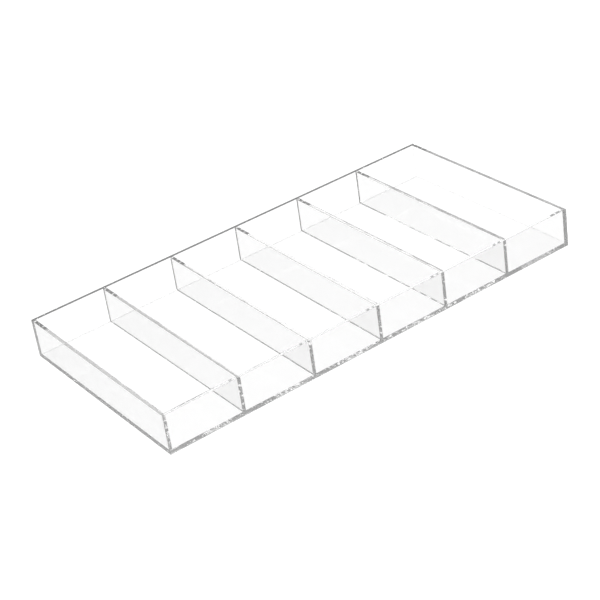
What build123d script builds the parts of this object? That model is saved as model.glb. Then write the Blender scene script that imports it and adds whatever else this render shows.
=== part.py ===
from build123d import *
import os

# Clear acrylic tray that stores folded glasses side by side, one pair to a compartment.
# Ten flat panels of one sheet are solvent-welded edge to face. The base panel lies between
# the two long walls. Seven equal cross panels, the two end walls and the five dividers,
# stand on the base and also reach from one long wall to the other.
# Frame: origin at the centre of the underside, +X along the long walls, +Y from the front
# wall to the back wall, +Z up. All lengths are in millimetres.

# Driving dimensions
LENGTH = 360.5          # outside, along X
DEPTH = 177.5           # outside, along Y
HEIGHT = 31.0           # outside, along Z
SHEET = 2.7             # thickness of every panel
COMPARTMENTS = 6
POLISH = 0.25           # small bevel that scraping and polishing leave on each free edge

# What follows from them
INNER_DEPTH = DEPTH - 2 * SHEET
PANEL_HEIGHT = HEIGHT - SHEET
PITCH = (LENGTH - SHEET) / COMPARTMENTS
END_CENTRE_X = (LENGTH - SHEET) / 2
WALL_CENTRE_Y = (DEPTH - SHEET) / 2


def sheet_panel(size_x, size_y, size_z, centre_x, centre_y, bottom_z):
    """A square-edged piece of sheet that stands on bottom_z, over its centre."""
    place = Pos(centre_x, centre_y, bottom_z)
    return place * Box(size_x, size_y, size_z, align=(Align.CENTER, Align.CENTER, Align.MIN))


def base_panel():
    """The floor. Its long edges are welded to the long walls, its short edges are bare."""
    panel = sheet_panel(LENGTH, INNER_DEPTH, SHEET, 0, 0, 0)
    underside = panel.faces().sort_by(Axis.Z).first
    return chamfer(underside.edges().filter_by(Axis.Y), POLISH)


def long_wall(side):
    """The front wall (side -1) or the back wall (side 1), full length and full height.

    Only the top edge of its inner face is free: the other three are part of welds.
    """
    panel = sheet_panel(LENGTH, SHEET, HEIGHT, 0, side * WALL_CENTRE_Y, 0)
    inner_face = panel.faces().sort_by(Axis.Y)[0 if side > 0 else -1]
    welded = inner_face.edges().sort_by(Axis.Z)[:-1]
    return chamfer(panel.edges() - welded, POLISH)


def cross_panel(centre_x):
    """An end wall or a divider, standing on the base between the long walls."""
    panel = sheet_panel(SHEET, INNER_DEPTH, PANEL_HEIGHT, centre_x, 0, SHEET)
    top = panel.faces().sort_by(Axis.Z).last
    return chamfer(top.edges().filter_by(Axis.Y), POLISH)


def all_panels():
    """Every panel, by the name of its node."""
    panels = {
        "base_panel": base_panel(),
        "front_wall": long_wall(-1),
        "back_wall": long_wall(1),
        "left_end_wall": cross_panel(-END_CENTRE_X),
        "right_end_wall": cross_panel(END_CENTRE_X),
    }
    for number in range(1, COMPARTMENTS):
        panels[f"divider_{number}"] = cross_panel(-END_CENTRE_X + number * PITCH)
    return panels


os.makedirs("parts", exist_ok=True)
for name, panel in all_panels().items():
    panel.label = name
    export_step(panel, f"parts/{name}.step")
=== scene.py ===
import math

import bmesh
import bpy
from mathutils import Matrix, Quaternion, Vector


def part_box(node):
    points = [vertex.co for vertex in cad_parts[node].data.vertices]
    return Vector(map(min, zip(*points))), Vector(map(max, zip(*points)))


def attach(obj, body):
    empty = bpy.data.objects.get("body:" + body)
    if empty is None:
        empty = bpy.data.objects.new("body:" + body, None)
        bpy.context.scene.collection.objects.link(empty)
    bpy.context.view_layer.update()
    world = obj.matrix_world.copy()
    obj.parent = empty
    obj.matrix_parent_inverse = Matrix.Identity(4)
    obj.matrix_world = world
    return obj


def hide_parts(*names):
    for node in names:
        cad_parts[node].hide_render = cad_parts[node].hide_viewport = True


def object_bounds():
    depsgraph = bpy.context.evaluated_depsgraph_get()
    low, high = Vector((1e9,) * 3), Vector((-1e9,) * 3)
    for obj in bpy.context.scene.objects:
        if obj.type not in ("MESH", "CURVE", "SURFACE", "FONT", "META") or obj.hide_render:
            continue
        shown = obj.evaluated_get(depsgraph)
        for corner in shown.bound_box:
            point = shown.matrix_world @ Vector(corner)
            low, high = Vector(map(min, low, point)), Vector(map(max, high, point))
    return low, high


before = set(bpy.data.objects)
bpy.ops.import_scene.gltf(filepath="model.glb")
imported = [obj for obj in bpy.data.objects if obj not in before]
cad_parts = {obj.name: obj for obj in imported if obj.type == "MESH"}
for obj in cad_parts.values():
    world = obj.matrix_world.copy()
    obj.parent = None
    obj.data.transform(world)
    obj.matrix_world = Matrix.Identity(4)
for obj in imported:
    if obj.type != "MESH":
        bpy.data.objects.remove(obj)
cad_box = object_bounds()

MM = 0.001
NODES = sorted(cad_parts)
CROSS_PANELS = [n for n in NODES if n.endswith("end_wall") or n.startswith("divider")]
LONG_WALLS = ["front_wall", "back_wall"]

POLISH_ROUND = 0.2 * MM         # rounding along a free, polished edge
POLISH_SEGMENTS = 3
WELD_FILM = 0.02 * MM           # solvent film between two welded faces
NEAR = 0.005 * MM               # two coordinates closer than this are the same
SHARP_ANGLE = math.radians(50)  # an edge that turns more than this keeps its crease
FLAT_ENOUGH = 0.999             # how squarely a normal points along the sheet's thin way

FACE, EDGE, WELD, FOOT_WELD = range(4)      # material slots on every panel

# ---------------------------------------------------------------- materials


def node(tree, kind, **inputs):
    """A new shader node with some of its inputs set, by name."""
    made = tree.nodes.new(kind)
    for name, value in inputs.items():
        made.inputs[name.replace("_", " ")].default_value = value
    return made


def join(tree, source, target):
    tree.links.new(source, target)


def new_material(name):
    material = bpy.data.materials.new(name)
    material.use_nodes = True
    material.node_tree.nodes.clear()
    return material, material.node_tree


def finish_material(material, tree, surface):
    out = tree.nodes.new("ShaderNodeOutputMaterial")
    join(tree, surface, out.inputs["Surface"])
    return material


def finish_clear(material, tree, surface):
    """Lets the lamp's light on through the sheet, so that its shadow is as faint as a clear thing's."""
    paths = tree.nodes.new("ShaderNodeLightPath")
    clear = node(tree, "ShaderNodeBsdfTransparent", Color=(0.97, 0.97, 0.97, 1))
    mix = tree.nodes.new("ShaderNodeMixShader")
    join(tree, paths.outputs["Is Shadow Ray"], mix.inputs["Fac"])
    join(tree, surface, mix.inputs[1])
    join(tree, clear.outputs[0], mix.inputs[2])
    return finish_material(material, tree, mix.outputs[0])


def face_material():
    """The sheet as it was made: smooth, and very slightly wavy."""
    material, tree = new_material("acrylic_face")
    where = tree.nodes.new("ShaderNodeTexCoord")
    ripple = node(tree, "ShaderNodeTexNoise", Scale=60.0, Detail=1.0)
    join(tree, where.outputs["Object"], ripple.inputs["Vector"])
    bump = node(tree, "ShaderNodeBump", Strength=0.3, Distance=0.0005)
    join(tree, ripple.outputs[0], bump.inputs["Height"])
    glass = node(tree, "ShaderNodeBsdfGlass", Color=(0.9996, 0.9996, 0.9996, 1), Roughness=0.0, IOR=1.491)
    join(tree, bump.outputs[0], glass.inputs["Normal"])
    return finish_clear(material, tree, glass.outputs[0])


def edge_material():
    """A cut edge, scraped and polished clear."""
    material, tree = new_material("acrylic_edge")
    where = tree.nodes.new("ShaderNodeTexCoord")
    marks = node(tree, "ShaderNodeTexNoise", Scale=900.0, Detail=2.0)
    join(tree, where.outputs["Object"], marks.inputs["Vector"])
    bump = node(tree, "ShaderNodeBump", Strength=0.05, Distance=0.0005)
    join(tree, marks.outputs[0], bump.inputs["Height"])
    glass = node(tree, "ShaderNodeBsdfGlass", Color=(0.998, 0.998, 0.998, 1), Roughness=0.0, IOR=1.491)
    join(tree, bump.outputs[0], glass.inputs["Normal"])
    return finish_clear(material, tree, glass.outputs[0])


def weld_material(name, haze_share):
    """Two sheets made one by solvent: light goes straight on, but for a haze of fine bubbles."""
    material, tree = new_material(name)
    where = tree.nodes.new("ShaderNodeTexCoord")
    bubbles = node(tree, "ShaderNodeTexNoise", Scale=650.0, Detail=2.0)
    join(tree, where.outputs["Object"], bubbles.inputs["Vector"])
    share = tree.nodes.new("ShaderNodeMapRange")
    share.inputs["From Min"].default_value = 0.35
    share.inputs["From Max"].default_value = 0.75
    share.inputs["To Min"].default_value = 0.0
    share.inputs["To Max"].default_value = haze_share
    join(tree, bubbles.outputs[0], share.inputs["Value"])
    clear = node(tree, "ShaderNodeBsdfTransparent", Color=(1, 1, 1, 1))
    haze = node(tree, "ShaderNodeBsdfGlass", Color=(0.98, 0.98, 0.98, 1), Roughness=0.35, IOR=1.2)
    mix = tree.nodes.new("ShaderNodeMixShader")
    join(tree, share.outputs[0], mix.inputs["Fac"])
    join(tree, clear.outputs[0], mix.inputs[1])
    join(tree, haze.outputs[0], mix.inputs[2])
    return finish_clear(material, tree, mix.outputs[0])


MATERIALS = [
    face_material(),
    edge_material(),
    weld_material("acrylic_weld", 0.08),
    weld_material("acrylic_foot_weld", 0.2),
]

# ---------------------------------------------------------------- panels


def boxed(low, high):
    """A bmesh box between two corners."""
    mesh = bmesh.new()
    bmesh.ops.create_cube(mesh, size=1.0)
    for vertex in mesh.verts:
        vertex.co = Vector((low[i] if vertex.co[i] < 0 else high[i]) for i in range(3))
    return mesh


def on_side(points, side, low, high):
    """True if every point lies on the named side of the box, such as -y."""
    axis = "xyz".index(side[1])
    level = low[axis] if side[0] == "-" else high[axis]
    return all(abs(p[axis] - level) < NEAR for p in points)


def build_panel(name, welded_sides, cuts, is_weld):
    """One sheet: free edges rounded, faces cut along the outlines of what is welded to them."""
    low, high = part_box(name)
    for side in welded_sides:
        axis = "xyz".index(side[1])
        if side[0] == "-":
            low[axis] += WELD_FILM
        else:
            high[axis] -= WELD_FILM
    mesh = boxed(low, high)
    held = [
        edge
        for edge in mesh.edges
        if any(on_side([v.co for v in edge.verts], side, low, high) for side in welded_sides)
        or is_weld(sum((v.co for v in edge.verts), Vector()) / 2, True)
    ]
    free = [edge for edge in mesh.edges if edge not in held]
    bmesh.ops.bevel(
        mesh,
        geom=free,
        offset=POLISH_ROUND,
        segments=POLISH_SEGMENTS,
        affect="EDGES",
        profile=0.5,
        clamp_overlap=True,
    )
    for axis, level in cuts:
        point, normal = Vector(), Vector()
        point[axis] = level
        normal[axis] = 1.0
        geometry = mesh.verts[:] + mesh.edges[:] + mesh.faces[:]
        bmesh.ops.bisect_plane(mesh, geom=geometry, dist=1e-8, plane_co=point, plane_no=normal)
    thin = min(range(3), key=lambda i: high[i] - low[i])
    for face in mesh.faces:
        centre = face.calc_center_median()
        corners = [vertex.co for vertex in face.verts]
        if is_weld(centre, False) or any(on_side(corners, side, low, high) for side in welded_sides):
            face.material_index = FOOT_WELD if centre.z < BASE_HIGH.z + 2 * WELD_FILM else WELD
        elif abs(face.normal[thin]) > FLAT_ENOUGH:
            face.material_index = FACE
        else:
            face.material_index = EDGE
        face.smooth = True
    for edge in mesh.edges:
        edge.smooth = len(edge.link_faces) != 2 or edge.calc_face_angle(0) < SHARP_ANGLE
    data = bpy.data.meshes.new(name + "_sheet")
    mesh.to_mesh(data)
    mesh.free()
    for material in MATERIALS:
        data.materials.append(material)
    panel = bpy.data.objects.new(name + "_sheet", data)
    bpy.context.scene.collection.objects.link(panel)
    even = panel.modifiers.new("even_normals", "WEIGHTED_NORMAL")
    even.keep_sharp = True
    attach(panel, "root")
    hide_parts(name)
    return panel


BASE_LOW, BASE_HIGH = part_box("base_panel")
FOOTPRINTS = [(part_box(n)[0].x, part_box(n)[1].x) for n in CROSS_PANELS]


def under_cross_panel(x):
    return any(low < x < high for low, high in FOOTPRINTS)


def base_weld(point, is_edge):
    """On the base's top face: the strips that the cross panels stand on."""
    if is_edge:
        return abs(point.z - BASE_HIGH.z) < NEAR
    return abs(point.z - BASE_HIGH.z) < NEAR and under_cross_panel(point.x)


def wall_weld(inner_y):
    """On a long wall's inner face: the base's edge and the cross panels' ends."""

    def test(point, is_edge):
        if abs(point.y - inner_y) > NEAR:
            return False
        if is_edge:
            return point.z < BASE_HIGH.z or abs(point.x) > BASE_HIGH.x - NEAR
        return point.z < BASE_HIGH.z or under_cross_panel(point.x)

    return test


def never(point, is_edge):
    return False


panel_cuts = [(0, x) for pair in FOOTPRINTS for x in pair if abs(x) < BASE_HIGH.x - NEAR]
build_panel("base_panel", ["-y", "+y"], panel_cuts, base_weld)
for name in LONG_WALLS:
    low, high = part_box(name)
    inner_y = high.y if high.y < 0 else low.y
    build_panel(name, [], panel_cuts + [(2, BASE_HIGH.z)], wall_weld(inner_y))
for name in CROSS_PANELS:
    build_panel(name, ["-y", "+y", "-z"], [], never)

# ---------------------------------------------------------------- stage


VIEW_AZIMUTH = math.radians(32.39)      # of the line of sight, from +Y towards +X
VIEW_DROP = math.radians(30.38)         # below the horizontal
VIEW_ROLL = math.radians(-8.69)
VIEW_DISTANCE = 1.2231
AIM_OFFSET = Vector((-0.01858, -0.01825, 0.00016))
LENS = 101.47                           # focal length in millimetres
AHEAD = Vector((math.sin(VIEW_AZIMUTH), math.cos(VIEW_AZIMUTH), 0.0))

FLOOR_DROP = 1.0        # the floor lies this far under the tray, as below a glass table
SKY_LEVEL = 0.415       # brightness of the studio's walls
POOL_AHEAD = 2.4        # centre of the lit part of the floor, from the tray
POOL_LENGTH = 3.3       # half sizes of the lit part, along the line of sight and across it
POOL_WIDTH = 2.5
LAMP_HEIGHT = 16.0      # above the floor
LAMP_POWER = 11700.0    # watts
POOL_FADE = 0.8         # share of the pool that fades out towards its edge
LAMP_RADIUS = 0.4
FLOOR_SIZE = 30.0       # half the floor's width
CEILING_LEVEL = 0.12    # brightness straight overhead
TRAPPED_BOUNCES = 256   # light inside a sheet reflects over a hundred times before it leaves
CEILING_STARTS = 0.6    # height on a unit sphere where the walls begin to darken


def build_floor():
    mesh = bmesh.new()
    bmesh.ops.create_grid(mesh, x_segments=1, y_segments=1, size=FLOOR_SIZE)
    data = bpy.data.meshes.new("floor")
    mesh.to_mesh(data)
    mesh.free()
    floor = bpy.data.objects.new("floor", data)
    floor.location.z = -FLOOR_DROP
    bpy.context.scene.collection.objects.link(floor)
    material, tree = new_material("floor_white")
    paint = node(tree, "ShaderNodeBsdfDiffuse", Color=(0.8, 0.8, 0.8, 1))
    data.materials.append(finish_material(material, tree, paint.outputs[0]))


def build_lamp():
    """A spot that lights an oval of the floor and leaves no mirror image of itself on the sheet."""
    data = bpy.data.lights.new("lamp", "SPOT")
    data.energy = LAMP_POWER
    data.spot_size = 2 * math.atan(POOL_LENGTH / LAMP_HEIGHT)
    data.spot_blend = POOL_FADE
    data.shadow_soft_size = LAMP_RADIUS
    lamp = bpy.data.objects.new("lamp", data)
    lamp.location = AHEAD * POOL_AHEAD + Vector((0, 0, LAMP_HEIGHT - FLOOR_DROP))
    lamp.rotation_euler.z = -VIEW_AZIMUTH
    lamp.scale.x = POOL_WIDTH / POOL_LENGTH
    lamp.visible_glossy = False
    lamp.visible_transmission = False
    bpy.context.scene.collection.objects.link(lamp)


def build_world():
    """Grey studio walls all round, under a darker ceiling."""
    world = bpy.data.worlds.new("studio")
    bpy.context.scene.world = world
    world.use_nodes = True
    tree = world.node_tree
    tree.nodes.clear()
    where = tree.nodes.new("ShaderNodeTexCoord")
    parts = tree.nodes.new("ShaderNodeSeparateXYZ")
    join(tree, where.outputs["Generated"], parts.inputs[0])
    height = tree.nodes.new("ShaderNodeMapRange")
    height.inputs["From Min"].default_value = CEILING_STARTS
    height.inputs["From Max"].default_value = 1.0
    height.inputs["To Min"].default_value = SKY_LEVEL
    height.inputs["To Max"].default_value = CEILING_LEVEL
    join(tree, parts.outputs["Z"], height.inputs["Value"])
    sky = node(tree, "ShaderNodeBackground", Color=(1, 1, 1, 1))
    join(tree, height.outputs[0], sky.inputs["Strength"])
    out = tree.nodes.new("ShaderNodeOutputWorld")
    join(tree, sky.outputs[0], out.inputs["Surface"])


def build_camera():
    low, high = (Vector(corner) for corner in cad_box)
    aim = (low + high) / 2 + AIM_OFFSET
    sight = AHEAD * math.cos(VIEW_DROP) - Vector((0, 0, math.sin(VIEW_DROP)))
    data = bpy.data.cameras.new("camera")
    data.lens = LENS
    data.clip_end = 100.0
    camera = bpy.data.objects.new("camera", data)
    camera.location = aim - sight * VIEW_DISTANCE
    camera.rotation_mode = "QUATERNION"
    camera.rotation_quaternion = sight.to_track_quat("-Z", "Y") @ Quaternion((0, 0, 1), VIEW_ROLL)
    bpy.context.scene.collection.objects.link(camera)
    bpy.context.scene.camera = camera


build_floor()
build_lamp()
build_world()
build_camera()
scene = bpy.context.scene
scene.view_settings.view_transform = "Standard"
scene.cycles.max_bounces = TRAPPED_BOUNCES
scene.cycles.glossy_bounces = TRAPPED_BOUNCES
scene.cycles.transmission_bounces = TRAPPED_BOUNCES
scene.cycles.transparent_max_bounces = 64
scene.cycles.caustics_reflective = False
scene.cycles.caustics_refractive = False
